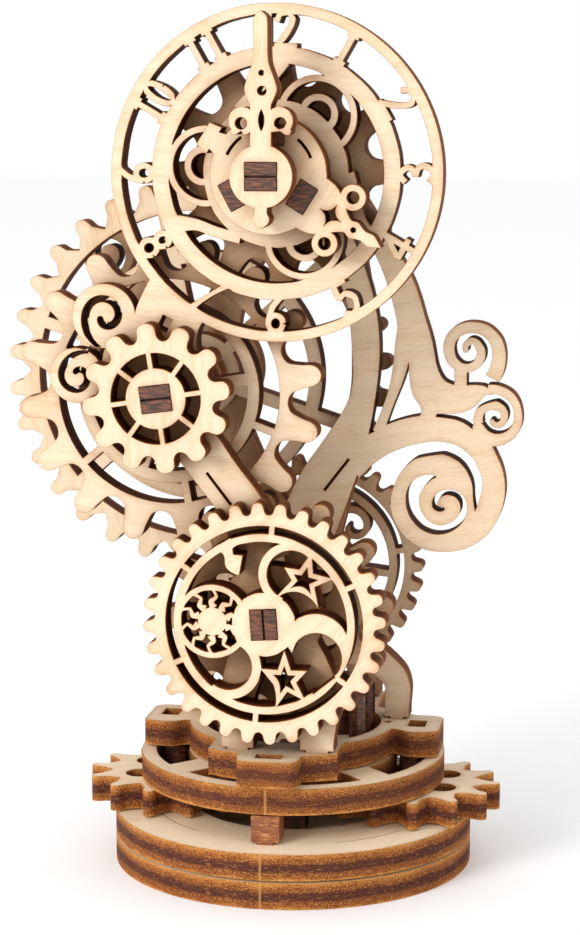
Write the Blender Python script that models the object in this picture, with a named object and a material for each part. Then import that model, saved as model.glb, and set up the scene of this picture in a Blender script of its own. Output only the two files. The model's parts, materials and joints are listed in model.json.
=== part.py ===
"""Laser-cut plywood gear clock: a round base with finger gears, upright scroll plates,
a train of wheels on three axles and a dial with two hands.

Every outline is drawn in millimetres, cut from one thickness of sheet and built in metres.
The origin is the centre of the base's underside, +Z is up and the dial faces -Y.
"""
import math

import bmesh
import bpy
from mathutils import Matrix, Vector
from mathutils.geometry import delaunay_2d_cdt

MM = 0.001

# Driving dimensions, in millimetres and degrees.
SHEET = 3.8                  # thickness of the plywood
GAP = 0.3                    # clearance between touching pieces
PITCH = SHEET + GAP          # distance from one sheet to the next in a stack
CURVE_TOLERANCE = 0.08       # how far a chord may lie inside its arc
DIAL_PLATE_Y = -17.6         # front face of the dial plate
SCROLL_LEVEL = 5             # sheet levels behind the dial plate
FINE_LEVEL = 6
REAR_LEVEL = 8
SCROLL_WHEEL_LEVEL = 10
DIAL_FEET = [(-5.0, 4.6), (6.3, 4.8)]        # centre and width of each foot along X
SCROLL_FEET = [(-15.0, 3.6), (15.0, 3.6)]
REAR_FEET = [(-8.6, 4.4), (8.6, 4.4)]
SHOULDER = 0.8               # step from a foot to its tenon
HAND_STEP = 5.6              # distance between the dial plate and each hand
KERF = 0.36                  # width of a single laser line

AXLE_DISTANCE = 34.4         # left axle to clock axle, and left axle to lower axle
LOWER_X, LOWER_Z = -0.5, 39.2
CLOCK_X = 0.5
LEFT_X = -15.45
AXLE_WIDE = 4.2
AXLE_THIN = 3.6
SHAFT_HOLE_RADIUS = 3.2      # round bearing hole for a turning axle

BASE_RADIUS = 26.2
RECESS_RADIUS = 14.2
DECK_RADIUS = 22.3
DECK_OPENING = 13.9
CROWN_RADIUS = 13.3          # turning disc that carries the upright pegs
PEG_CIRCLE = 11.0
PEG_RADIUS = 1.2
PEG_COUNT = 9
PEG_TOP_Z = 25.4
CARRIER_OPENING = 12.9
CARRIER_RADIUS = 15.2
PIN_RADIUS = 1.9             # fixed pins of the finger gears
POST_WIDTH = 4.0
TENON = 2.2
TENON_DEPTH = 2.4
POST_SPOTS = [(-0.3, -20.0), (-8.0, 18.0), (8.0, 18.0)]

FINGER_TEETH = 13
CENTRE_TEETH = 8
FINGER_DISTANCE = 17.7
FINGER_TIP = 12.9
WHEEL_TEETH = 16             # big wheel on the left axle
LOBE_TEETH = 12              # lobed wheels on the clock and lower axles
FINE_TEETH = 32
PINION_TEETH = 8
KNOB_TEETH = 12

DIAL_RADIUS = 22.8
DIAL_RIM = 1.4
CHAPTER_OUTER = 17.1         # ring that carries the feet of the numerals
CHAPTER_INNER = 14.8
DIAL_HUB = 10.0
TUBE_HOLE = 7.3
STRIP_RADIUS = 5.35          # the three strips that tie the hour hand to its wheel
STRIP_LENGTH = 3.8
STRIP_DEPTH = 2.6
STROKE = 0.85                # width of a numeral's lines
DIGIT_SPACING = 0.62

LEFT_Z = LOWER_Z + math.sqrt(AXLE_DISTANCE ** 2 - (LEFT_X - LOWER_X) ** 2)
CLOCK_Z = LEFT_Z + math.sqrt(AXLE_DISTANCE ** 2 - (CLOCK_X - LEFT_X) ** 2)
LOWER = (LOWER_X, LOWER_Z)
LEFT = (LEFT_X, LEFT_Z)
CLOCK = (CLOCK_X, CLOCK_Z)

# Rest positions of the wheels: angles of one tooth, anticlockwise from +X seen from the front.
WHEEL_PHASE = math.radians(7.5)
FINE_PHASE = math.radians(5.0)
KNOB_PHASE = math.radians(8.0)
STAR_PHASE = math.radians(2.9)
SCROLL_WHEEL_PHASE = math.radians(-0.6)
LEFT_AXLE_TURN = math.radians(7.5)
LOWER_AXLE_TURN = math.radians(94.0)
CENTRE_PHASE = math.radians(90.0)
HOUR_POINTER = math.radians(-32.0)
STRIP_ANGLES = [HOUR_POINTER + math.tau * third / 3 for third in range(3)]
DOWN = math.radians(-90.0)


def sheet_y(level):
    """Front face of the upright sheet a number of levels behind the dial plate."""
    return DIAL_PLATE_Y + level * PITCH


def sheet_z(level):
    """Underside of the flat sheet at a level above the floor."""
    return level * PITCH


# ---------------------------------------------------------------- outlines

def arc_steps(radius, sweep):
    """Number of chords that keeps an arc within the curve tolerance."""
    chord = 2.0 * math.acos(max(0.0, 1.0 - CURVE_TOLERANCE / max(radius, 0.1)))
    return max(2, math.ceil(abs(sweep) / chord))


def polar(centre, radius, angle):
    return (centre[0] + radius * math.cos(angle), centre[1] + radius * math.sin(angle))


def arc(centre, radius, start, end):
    """Points along an arc, both ends included, in radians."""
    steps = arc_steps(radius, end - start)
    return [polar(centre, radius, start + (end - start) * i / steps) for i in range(steps + 1)]


def circle(centre, radius):
    return arc(centre, radius, 0.0, math.tau)[:-1]


def sector(centre, inner, outer, start, end):
    """A piece of a ring between two angles, in radians."""
    return arc(centre, outer, start, end) + arc(centre, inner, end, start)


def box(centre, width, height, turn=0.0):
    """A rectangle turned about its centre, in radians."""
    cos, sin = math.cos(turn), math.sin(turn)
    corners = [(-width / 2, -height / 2), (width / 2, -height / 2),
               (width / 2, height / 2), (-width / 2, height / 2)]
    return [(centre[0] + x * cos - y * sin, centre[1] + x * sin + y * cos) for x, y in corners]


def moved(points, offset=(0.0, 0.0), turn=0.0):
    """Points turned about the origin, then shifted."""
    cos, sin = math.cos(turn), math.sin(turn)
    return [(offset[0] + x * cos - y * sin, offset[1] + x * sin + y * cos) for x, y in points]


def spline(controls, steps=4):
    """A smooth curve through control tuples of any length (Catmull-Rom)."""
    ends = [controls[0]] + list(controls) + [controls[-1]]
    curve = []
    for a, b, c, d in zip(ends, ends[1:], ends[2:], ends[3:]):
        for i in range(steps):
            t = i / steps
            curve.append(tuple(
                0.5 * (2 * q + (r - p) * t + (2 * p - 5 * q + 4 * r - s) * t * t
                       + (3 * q - p - 3 * r + s) * t ** 3)
                for p, q, r, s in zip(a, b, c, d)))
    curve.append(tuple(controls[-1]))
    return curve


def band_sides(controls, steps):
    """Path of a strip through (x, y, width) controls, with its left and right sides."""
    path = spline(controls, steps)
    left, right = [], []
    for i, (x, y, width) in enumerate(path):
        before = path[max(i - 1, 0)]
        after = path[min(i + 1, len(path) - 1)]
        heading = math.atan2(after[1] - before[1], after[0] - before[0])
        left.append(polar((x, y), width / 2, heading + math.pi / 2))
        right.append(polar((x, y), width / 2, heading - math.pi / 2))
    return path, left, right


def band(controls, steps=3, start_round=False, end_round=False):
    """Outline of a strip along a smooth path, with flat or rounded ends."""
    path, left, right = band_sides(controls, steps)
    outline = right
    if end_round:
        outline = outline + cap(path[-2], path[-1])
    outline = outline + left[::-1]
    if start_round:
        outline = outline + cap(path[1], path[0])
    return outline


def looping_band(controls, steps):
    """A strip that may cross itself, as a chain of four-sided pieces."""
    _, left, right = band_sides(controls, steps)
    return [[right[i], right[i + 1], left[i + 1], left[i]] for i in range(len(left) - 1)]


def cap(inner, end):
    """Middle points of the half circle that closes a strip at its end."""
    heading = math.atan2(end[1] - inner[1], end[0] - inner[0])
    points = arc(end[:2], end[2] / 2, heading - math.pi / 2, heading + math.pi / 2)
    return points[1:-1]


def curl(centre, controls, steps=5, start_round=False, end_round=True):
    """A strip around a centre through polar controls (degrees, radius, width)."""
    turned = []
    for angle, radius, width in spline(controls, steps):
        turned.append((*polar(centre, radius, math.radians(angle)), width))
    return band(turned, 1, start_round, end_round)


def line(start, end, width):
    """A straight strip with flat ends."""
    return band([(*start, width), (*end, width)], 1)


def mirrored(points):
    return [(-x, y) for x, y in points]


# ---------------------------------------------------------------- gear teeth

def involute(angle):
    return math.tan(angle) - angle


def gear(teeth, pitch_radius, tip, root, phase, backlash=0.35, tip_round=0.45, root_round=0.4,
         flank_steps=2, tip_steps=2, root_steps=1):
    """Outline of a wheel with involute flanks, rounded tips and rounded gaps."""
    pressure = math.radians(20)
    base = pitch_radius * math.cos(pressure)
    half = math.pi / (2 * teeth) - backlash / (2 * pitch_radius) + involute(pressure)
    height = tip - root
    low = root + height * root_round
    high = tip - height * tip_round

    def half_angle(radius):
        if radius <= base:
            return half
        return half - involute(math.acos(base / radius))

    side = []
    for i in range(root_steps):
        t = math.pi / 2 * (1 - i / root_steps)
        spread = (math.pi / teeth - half_angle(low)) * (1 - math.cos(t))
        side.append((low - (low - root) * math.sin(t), half_angle(low) + spread))
    for i in range(flank_steps):
        radius = low + (high - low) * i / (flank_steps - 1)
        side.append((radius, half_angle(radius)))
    for i in range(1, tip_steps):
        t = math.pi / 2 * i / tip_steps
        side.append((high + (tip - high) * math.sin(t), half_angle(high) * math.cos(t)))
    outline = []
    for tooth in range(teeth):
        middle = phase + math.tau * tooth / teeth
        outline += [polar((0, 0), radius, middle - angle) for radius, angle in side]
        outline.append(polar((0, 0), tip, middle))
        outline += [polar((0, 0), radius, middle + angle) for radius, angle in side[:0:-1]]
    return outline


def lobed_rim(teeth, tip, root, phase, fullness=0.25, steps=2):
    """Outline of a wheel with rounded teeth and gaps; fullness is half a tooth at mid height."""
    middle = (tip + root) / 2
    step = math.tau / teeth
    quarter = [math.pi / 2 * i / steps for i in range(steps + 1)]
    side = [(middle + (tip - middle) * math.cos(t), fullness * math.sin(t)) for t in quarter]
    side += [(middle - (middle - root) * math.cos(t), 0.5 - (0.5 - fullness) * math.sin(t))
             for t in quarter[-2::-1]]
    half_tooth = [(radius, -share) for radius, share in side[-2:0:-1]]
    return [polar((0, 0), radius, phase + step * (tooth + share))
            for tooth in range(teeth) for radius, share in half_tooth + side]


def mesh_phase(direction, phase, teeth, follower_teeth):
    """Tooth angle of a wheel whose gap meets a tooth of its neighbour in that direction."""
    return (direction + math.pi + math.pi / follower_teeth
            - (phase - direction) * teeth / follower_teeth)


def direction_to(start, end):
    return math.atan2(end[1] - start[1], end[0] - start[0])


# Tooth angles of the wheels that mesh with another one, and of the crown pegs.
DRIVE_PHASE = mesh_phase(direction_to(LEFT, LOWER), WHEEL_PHASE, WHEEL_TEETH, LOBE_TEETH)
HOUR_PHASE = mesh_phase(direction_to(LEFT, CLOCK), WHEEL_PHASE, WHEEL_TEETH, LOBE_TEETH)
MINUTE_PHASE = mesh_phase(direction_to(LEFT, CLOCK), FINE_PHASE, FINE_TEETH, PINION_TEETH)
DRIVE_GAP_TURN = DRIVE_PHASE + math.pi / LOBE_TEETH - DOWN
FIRST_PEG = DOWN + DRIVE_GAP_TURN * LOBE_TEETH / PEG_COUNT


# ---------------------------------------------------------------- sheets

def area(loop):
    pairs = zip(loop, loop[1:] + loop[:1])
    return sum(a[0] * b[1] - b[0] * a[1] for a, b in pairs) / 2


def triangles(loops):
    """Delaunay triangles of closed loops, with the loops that contain each one."""
    points, faces = [], []
    for loop in loops:
        ordered = loop if area(loop) > 0 else loop[::-1]
        faces.append(list(range(len(points), len(points) + len(ordered))))
        points += [Vector(p) for p in ordered]
    found = delaunay_2d_cdt(points, [], faces, 0, 1e-4, True)
    return found[0], found[2], found[5]


def outline_loops(faces):
    """Closed loops of vertex numbers around a set of triangles."""
    directed = {(face[i], face[i - 2]) for face in faces for i in range(3)}
    following = {}
    for a, b in sorted(directed):
        if (b, a) not in directed:
            following.setdefault(a, []).append(b)
    loops = []
    while following:
        start = next(iter(following))
        loop = []
        vertex = start
        while vertex in following:
            loop.append(vertex)
            onward = following[vertex]
            step = onward.pop()
            if not onward:
                del following[vertex]
            vertex = step
        loops.append(loop)
    return loops


def tidy_loop(loop):
    """The loop without repeated points or points on a straight stretch."""
    kept = []
    for i, point in enumerate(loop):
        before, after = loop[i - 1], loop[(i + 1) % len(loop)]
        run = (point - before).length
        if run < 0.02:
            continue
        chord = after - before
        if chord.length > 0 and abs(chord.cross(point - before)) / chord.length < 0.002:
            continue
        kept.append(tuple(point))
    return kept


def plus(*outlines):
    """Layers of wood laid over whatever is below them."""
    return [(True, outline) for outline in outlines]


def minus(*outlines):
    """Layers cut out of whatever is below them."""
    return [(False, outline) for outline in outlines]


def region(layers):
    """Loops around the wood that is left when the layers are laid down in order."""
    points, faces, inside = triangles([outline for _, outline in layers])
    solid = [face for face, owners in zip(faces, inside) if owners and layers[max(owners)][0]]
    return [tidy_loop([points[i] for i in loop]) for loop in outline_loops(solid)]


def sheet(name, layers, at=(0.0, 0.0, 0.0), upright=True, thickness=SHEET, tone="birch"):
    """A flat piece cut from sheet; upright pieces are drawn in X and Z, flat ones in X and Y."""
    points, faces, inside = triangles(region(layers))
    solid = [face for face, owners in zip(faces, inside) if len(owners) % 2 == 1]
    edge_pairs = [pair for loop in outline_loops(solid) for pair in zip(loop, loop[1:] + loop[:1])]
    used = sorted({i for face in solid for i in face})
    mesh_data = bmesh.new()
    near, far = {}, {}
    for i in used:
        x, y = points[i]
        if upright:
            near[i] = mesh_data.verts.new((x, 0.0, y))
            far[i] = mesh_data.verts.new((x, thickness, y))
        else:
            near[i] = mesh_data.verts.new((x, y, 0.0))
            far[i] = mesh_data.verts.new((x, y, thickness))
    for face in solid:
        mesh_data.faces.new([near[i] for i in face])
        mesh_data.faces.new([far[i] for i in reversed(face)])
    for a, b in edge_pairs:
        mesh_data.faces.new((near[a], near[b], far[b], far[a]))
    bmesh.ops.recalc_face_normals(mesh_data, faces=mesh_data.faces)
    bmesh.ops.scale(mesh_data, vec=(MM, MM, MM), verts=mesh_data.verts)
    return add_object(name, mesh_data, at, tone)


def add_object(name, mesh_data, at, tone):
    """An object from a bmesh, smooth over its curves, with its own material."""
    mesh = bpy.data.meshes.new(name)
    mesh_data.to_mesh(mesh)
    mesh_data.free()
    mesh.shade_smooth()
    mesh.set_sharp_from_angle(angle=math.radians(30))
    mesh.materials.append(wood(name, tone))
    item = bpy.data.objects.new(name, mesh)
    item.location = Vector(at) * MM
    bpy.context.scene.collection.objects.link(item)
    return item


TONES = {
    "birch": (0.80, 0.64, 0.42),
    "shade": (0.62, 0.45, 0.28),
    "burnt": (0.20, 0.08, 0.035),
}


def wood(name, tone):
    """Sawn plywood: a matt Principled surface in one of the three tones."""
    material = bpy.data.materials.new(name)
    material.use_nodes = True
    shader = material.node_tree.nodes["Principled BSDF"]
    shader.inputs["Base Color"].default_value = (*TONES[tone], 1.0)
    shader.inputs["Roughness"].default_value = 0.7
    shader.inputs["Metallic"].default_value = 0.0
    return material


# ---------------------------------------------------------------- shared details

def axle_hole(turn=0.0):
    """Rectangular hole that drives a wheel from its axle."""
    return box((0, 0), AXLE_WIDE + 2 * GAP, AXLE_THIN + 2 * GAP, turn)


def spoked_windows(inner, outer, count, first, spoke_width):
    """Windows between straight-sided spokes in a ring; first is the angle of one spoke."""
    windows = []
    for i in range(count):
        start = first + math.tau * i / count
        end = start + math.tau / count
        far, near = spoke_width / (2 * outer), spoke_width / (2 * inner)
        windows.append(arc((0, 0), outer, start + far, end - far)
                       + arc((0, 0), inner, end - near, start + near))
    return windows


def star(centre, tips, notch, scale=1.0):
    """A star with tips at the given (degrees, radius) spots and a notch between each two."""
    outline = []
    for (angle, radius), (after, _) in zip(tips, tips[1:] + tips[:1]):
        between = angle + (after - angle) % 360 / 2
        outline += [polar(centre, scale * radius, math.radians(angle)),
                    polar(centre, scale * notch, math.radians(between))]
    return outline


def scroll_slot(centre, size, hand, start, turns=1.0):
    """A spiral slot that winds into a scroll of the given radius, narrowing to its eye."""
    controls = [(0.0, 0.98, 0.12), (0.09, 0.77, 0.19), (0.22, 0.59, 0.25), (0.45, 0.55, 0.21),
                (0.70, 0.47, 0.23), (0.92, 0.32, 0.22), (1.12, 0.14, 0.20)]
    wound = [(start + hand * 360.0 * turns * t, size * r, size * w) for t, r, w in controls]
    return curl(centre, wound, 3)


# ---------------------------------------------------------------- base

def build_base():
    """Two stacked discs, three posts and the ring-shaped deck above the finger gears."""
    pin_holes = [circle((side * FINGER_DISTANCE, 0), PIN_RADIUS + GAP) for side in (-1, 1)]
    slots = [box(spot, TENON + 2 * GAP, SHEET + 2 * GAP) for spot in POST_SPOTS]
    rim = circle((0, 0), BASE_RADIUS)
    sheet("base_disc_lower", plus(rim), (0, 0, 0), upright=False)
    sheet("base_disc_upper", plus(rim) + minus(circle((0, 0), RECESS_RADIUS), *pin_holes, *slots),
          (0, 0, sheet_z(1)), upright=False)
    windows = spoked_windows(DECK_OPENING + 1.4, DECK_RADIUS - 2.2, 4, math.radians(45), 5.0)
    sheet("deck_ring", plus(circle((0, 0), DECK_RADIUS))
          + minus(circle((0, 0), DECK_OPENING), *windows),
          (0, 0, sheet_z(3)), upright=False)
    for number, (x, y) in enumerate(POST_SPOTS, 1):
        body = box((0, SHEET / 2), POST_WIDTH, SHEET)
        tenon = box((0, 0), TENON, 2 * TENON_DEPTH)
        sheet(f"base_post_{number}", plus(body, tenon), (x, y - SHEET / 2, sheet_z(2)),
              tone="burnt")


def build_finger_gears():
    """The two wheels that stick out of the base, each on a round pin."""
    pitch_radius = FINGER_DISTANCE * FINGER_TEETH / (FINGER_TEETH + CENTRE_TEETH)
    for name, side, facing in (("left", -1, math.pi), ("right", 1, 0.0)):
        phase = mesh_phase(facing, CENTRE_PHASE, CENTRE_TEETH, FINGER_TEETH)
        teeth = gear(FINGER_TEETH, pitch_radius, FINGER_TIP, 9.4, phase, 0.5)
        holes = [circle(polar((0, 0), 5.9, facing + math.tau * (i + 0.5) / 5), 2.0)
                 for i in range(5)]
        x = side * FINGER_DISTANCE
        sheet(f"finger_gear_{name}", plus(teeth) + minus(circle((0, 0), PIN_RADIUS + GAP), *holes),
              (x, 0, sheet_z(2)), upright=False)
        sheet(f"finger_pin_{name}", plus(circle((0, 0), PIN_RADIUS)), (x, 0, sheet_z(1) + GAP),
              upright=False, thickness=3 * PITCH - 2 * GAP, tone="burnt")


def build_crown():
    """The upright shaft with its pinion and the disc of pegs that drives the lower axle."""
    pitch_radius = FINGER_DISTANCE * CENTRE_TEETH / (FINGER_TEETH + CENTRE_TEETH)
    teeth = gear(CENTRE_TEETH, pitch_radius, 8.0, 4.6, CENTRE_PHASE, 0.8, 0.5, 0.3)
    sheet("centre_pinion", plus(teeth) + minus(axle_hole()), (0, 0, sheet_z(2)), upright=False)
    sheet("centre_shaft", plus(box((0, 0), AXLE_WIDE, AXLE_THIN)), (0, 0, sheet_z(1)),
          upright=False, thickness=3 * PITCH + GAP, tone="burnt")
    spots = [polar((0, 0), PEG_CIRCLE, FIRST_PEG + math.tau * i / PEG_COUNT)
             for i in range(PEG_COUNT)]
    holes = [circle(spot, PEG_RADIUS + GAP) for spot in spots]
    sheet("crown_disc", plus(circle((0, 0), CROWN_RADIUS)) + minus(axle_hole(), *holes),
          (0, 0, sheet_z(3)), upright=False)
    bottom = sheet_z(3) + GAP
    for number, (x, y) in enumerate(spots, 1):
        sheet(f"crown_peg_{number}", plus(circle((0, 0), PEG_RADIUS)), (x, y, bottom),
              upright=False, thickness=PEG_TOP_Z - bottom, tone="burnt")


def build_carrier():
    """The lobed plate on the deck that the upright plates stand on."""
    front = [(9.2, -8.0), (9.2, -17.6), (4.4, -19.6), (4.2, -22.4), (3.2, -23.4)]
    side = [(9.0, 9.6), (15.4, 8.8), (17.0, 6.0), (20.6, 5.6), (21.8, 4.4), (21.8, -2.6),
            (20.8, -3.6), (17.6, -4.0), (15.6, -2.8), (14.0, -2.8), (12.2, -4.8), (9.0, -8.0)]
    adds = [circle((0, 0), CARRIER_RADIUS), front + mirrored(front[::-1]), side, mirrored(side),
            box((0, 13.6), 22.4, 11.6)]
    cuts = [circle((0, 0), CARRIER_OPENING), box((0, -20.4), 4.2, 2.6), circle((13.9, 1.1), 0.5),
            box((18.3, 0.8), 3.0, 4.0), box((-18.6, 1.6), 3.0, 4.0)]
    for level, feet in ((0, DIAL_FEET), (SCROLL_LEVEL, SCROLL_FEET), (REAR_LEVEL, REAR_FEET)):
        middle = sheet_y(level) + SHEET / 2
        cuts += [box((x, middle), width - 2 * SHOULDER + 2 * GAP, SHEET + 2 * GAP)
                 for x, width in feet]
    sheet("carrier_plate", plus(*adds) + minus(*cuts), (0, 0, sheet_z(4)), upright=False)


def feet_outlines(feet):
    """Foot soles on the carrier plate with a tenon below each one."""
    sole = sheet_z(5)
    outlines = []
    for x, width in feet:
        outlines.append(box((x, sole + 2.0), width, 4.0))
        outlines.append(box((x, sole - SHEET / 2 + 1.0), width - 2 * SHOULDER, SHEET + 2.0))
    return outlines


# ---------------------------------------------------------------- dial plate

def loop_path(x, y, width, height):
    """A closed oval stroke in a numeral's cell."""
    return [(x + width / 2 * math.cos(math.tau * i / 8), y + height / 2 * math.sin(math.tau * i / 8))
            for i in range(9)]


def glyph_strokes(digit):
    """Strokes of a numeral in a cell one unit high, centred on x = 0."""
    shapes = {
        "0": [loop_path(0.0, 0.5, 0.42, 1.04)],
        "1": [[(0, -0.15), (0, 1.15)], [(-0.2, 0.02), (0.2, 0.02)], [(-0.2, 0.98), (0.2, 0.98)]],
        "2": [[(-0.27, 0.74), (-0.16, 0.98), (0.1, 1.02), (0.24, 0.8), (0.1, 0.46), (-0.25, 0.0)],
              [(-0.36, -0.02), (0.38, -0.02)]],
        "3": [[(-0.24, 0.86), (0.0, 1.04), (0.22, 0.8), (0.1, 0.6), (-0.06, 0.55)],
              [(-0.06, 0.55), (0.2, 0.46), (0.26, 0.22), (0.04, -0.04), (-0.25, 0.12)]],
        "4": [[(0.12, -0.15), (0.12, 1.15)], [(0.12, 1.0), (-0.30, 0.32)], [(-0.34, 0.3), (0.38, 0.3)]],
        "5": [[(0.26, 1.02), (-0.18, 1.02)], [(-0.16, 1.06), (-0.2, 0.56)],
              [(-0.22, 0.56), (0.04, 0.64), (0.26, 0.42), (0.2, 0.1), (-0.02, -0.04), (-0.24, 0.08)]],
        "6": [loop_path(0.0, 0.26, 0.48, 0.52), [(0.18, 1.1), (-0.1, 0.78), (-0.24, 0.3)]],
        "7": [[(0.42, 1.15), (-0.30, -0.15)]],
        "8": [loop_path(0.0, 0.76, 0.42, 0.46), loop_path(0.0, 0.25, 0.5, 0.52)],
        "9": [loop_path(0.0, 0.74, 0.48, 0.52), [(-0.18, -0.1), (0.1, 0.22), (0.24, 0.7)]],
    }
    return shapes[digit]


def numeral(text, hour):
    """Strokes of one hour's numeral, which join the numeral ring to the rim."""
    height = DIAL_RADIUS - DIAL_RIM - CHAPTER_OUTER
    angle = math.radians(90 - 30 * hour)
    reads_outward = hour in (10, 11, 12, 1, 2)
    turn = angle - math.pi / 2 if reads_outward else angle + math.pi / 2
    centre = polar((0, 0), CHAPTER_OUTER + height / 2, angle)
    strokes = []
    for place, digit in enumerate(text):
        shift = (place - (len(text) - 1) / 2) * DIGIT_SPACING
        for path in glyph_strokes(digit):
            points = [((x + shift) * height, (y - 0.5) * height, STROKE) for x, y in path]
            pieces = looping_band(points, 2 if 2 < len(points) < 6 else 1)
            strokes += [moved(piece, centre, turn) for piece in pieces]
    return strokes


def dial_face():
    """The dial about its own centre: rim, numerals, numeral ring, three curls and the hub."""
    layers = plus(circle((0, 0), DIAL_RADIUS)) + minus(circle((0, 0), DIAL_RADIUS - DIAL_RIM))
    layers += plus(circle((0, 0), CHAPTER_OUTER)) + minus(circle((0, 0), CHAPTER_INNER))
    for hour in range(1, 13):
        layers += plus(*numeral(str(hour), hour))
    for third in range(3):
        degrees = 54 + 120 * third
        middle = math.radians(degrees)
        ring = polar((0, 0), 9.6, middle)
        layers += plus(circle(ring, 5.5)) + minus(circle(ring, 4.6))
        hook = [(degrees - 125, 2.25, 1.1), (degrees - 40, 2.25, 0.95), (degrees + 40, 2.25, 0.95),
                (degrees + 100, 2.15, 0.95), (degrees + 125, 1.6, 0.8)]
        layers += plus(curl(polar((0, 0), 9.9, middle), hook, 3))
        sway = [(*polar((0, 0), 10.0, middle + 1.17), 1.5), (*polar((0, 0), 11.4, middle + 0.87), 1.5),
                (*polar((0, 0), 12.95, middle + 0.67), 1.6), (*polar((0, 0), 15.2, middle + 0.57), 2.4)]
        layers += plus(band(sway, 3))
    layers += plus(circle((0, 0), DIAL_HUB)) + minus(circle((0, 0), TUBE_HOLE))
    return [(keep, moved(outline, CLOCK)) for keep, outline in layers]


def build_dial_plate():
    """Front plate: the arm with two scrolls, the strut, the two front legs and the dial."""
    rim_stretch = [polar(CLOCK, DIAL_RADIUS - 0.5, math.radians(a)) for a in range(243, 218, -6)]
    arm = rim_stretch + [(-18.7, 83.0), (-20.2, 78.2), (-23.6, 76.3), (-24.5, 70.6),
                         (-21.6, 67.0), (-16.0, 62.6), (-8.6, 64.8), (-7.6, 71.5), (-10.5, 76.6)]
    strut = band([(-12.6, 66.0, 7.0), (-8.0, 59.6, 6.2), (-4.2, 54.4, 6.4), (-1.0, 47.0, 8.0)])
    legs = [band([(-1.5, 38.0, 7.0), (-4.8, 29.0, 5.0), (-5.0, 22.0, 4.6)]),
            band([(1.0, 38.0, 8.0), (6.4, 29.5, 5.4), (6.3, 22.0, 4.8)])]
    upper_scroll, lower_scroll = (-23.6, 81.0), (-27.6, 72.7)
    layers = plus(arm, strut, *legs, *feet_outlines(DIAL_FEET), circle(LOWER, 7.6))
    layers += plus(circle(upper_scroll, 4.5), circle(lower_scroll, 3.85))
    layers += minus(scroll_slot(upper_scroll, 4.5, -1, 262), scroll_slot(lower_scroll, 3.85, 1, 62))
    layers += minus(circle(LEFT, SHAFT_HOLE_RADIUS), circle(LOWER, SHAFT_HOLE_RADIUS))
    layers += minus(box((-15.0, 80.1), 2.0, 2.5, math.radians(-27)))
    layers += minus(line((-9.2, 59.5), (-5.8, 55.1), KERF))
    sheet("dial_plate", layers + dial_face(), (0, sheet_y(0), 0))


# ---------------------------------------------------------------- scroll plates

def winding_strip(centre, size, start):
    """A strip that winds anticlockwise from a thick root into a scroll of about the given radius."""
    controls = [(0, 1.12, 0.50), (38, 0.93, 0.45), (77, 0.86, 0.41), (141, 0.78, 0.37),
                (193, 0.78, 0.38), (232, 0.73, 0.37), (285, 0.65, 0.32), (322, 0.53, 0.29),
                (382, 0.36, 0.30), (452, 0.30, 0.26), (502, 0.34, 0.22), (582, 0.19, 0.19)]
    return curl(centre, [(start + a, size * r, size * w) for a, r, w in controls], 2)


def big_scroll(centre):
    """Outline of the large lower scroll and the spiral channel in it."""
    edge = [(53, 10.6), (39, 9.9), (19, 9.0), (-9, 8.0), (-45, 7.4), (-88, 7.2), (-119, 7.7),
            (-147, 8.0), (-176, 8.2), (-213, 8.0), (-236, 7.8)]
    body = [polar(centre, radius, math.radians(angle)) for angle, radius in spline(edge, 3)]
    channel = curl(centre, [(112, 4.15, 0.2), (137, 4.7, 1.5), (168, 5.0, 1.95), (222, 4.6, 1.7),
                            (256, 4.1, 1.35), (288, 3.45, 1.15), (330, 2.85, 0.95), (377, 2.3, 0.95),
                            (435, 1.65, 0.8), (500, 1.55, 0.75), (560, 1.7, 0.75), (600, 1.0, 0.6)], 2)
    return body, channel


def middle_scroll(centre):
    """The outer strip and the inner curl of the scroll on the right."""
    outer = curl(centre, [(104, 4.5, 1.3), (60, 4.05, 1.3), (20, 3.5, 1.15), (-20, 3.25, 1.35),
                          (-60, 3.05, 1.6), (-90, 3.0, 1.9), (-120, 2.9, 2.0), (-150, 2.7, 1.8)], 2)
    inner = curl(centre, [(195, 2.4, 1.4), (150, 2.35, 1.3), (90, 2.0, 1.3), (45, 1.75, 1.1),
                          (10, 1.4, 1.05), (-40, 1.05, 0.95), (-90, 0.75, 0.85), (-140, 0.5, 0.8)], 2)
    return outer, inner


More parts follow.
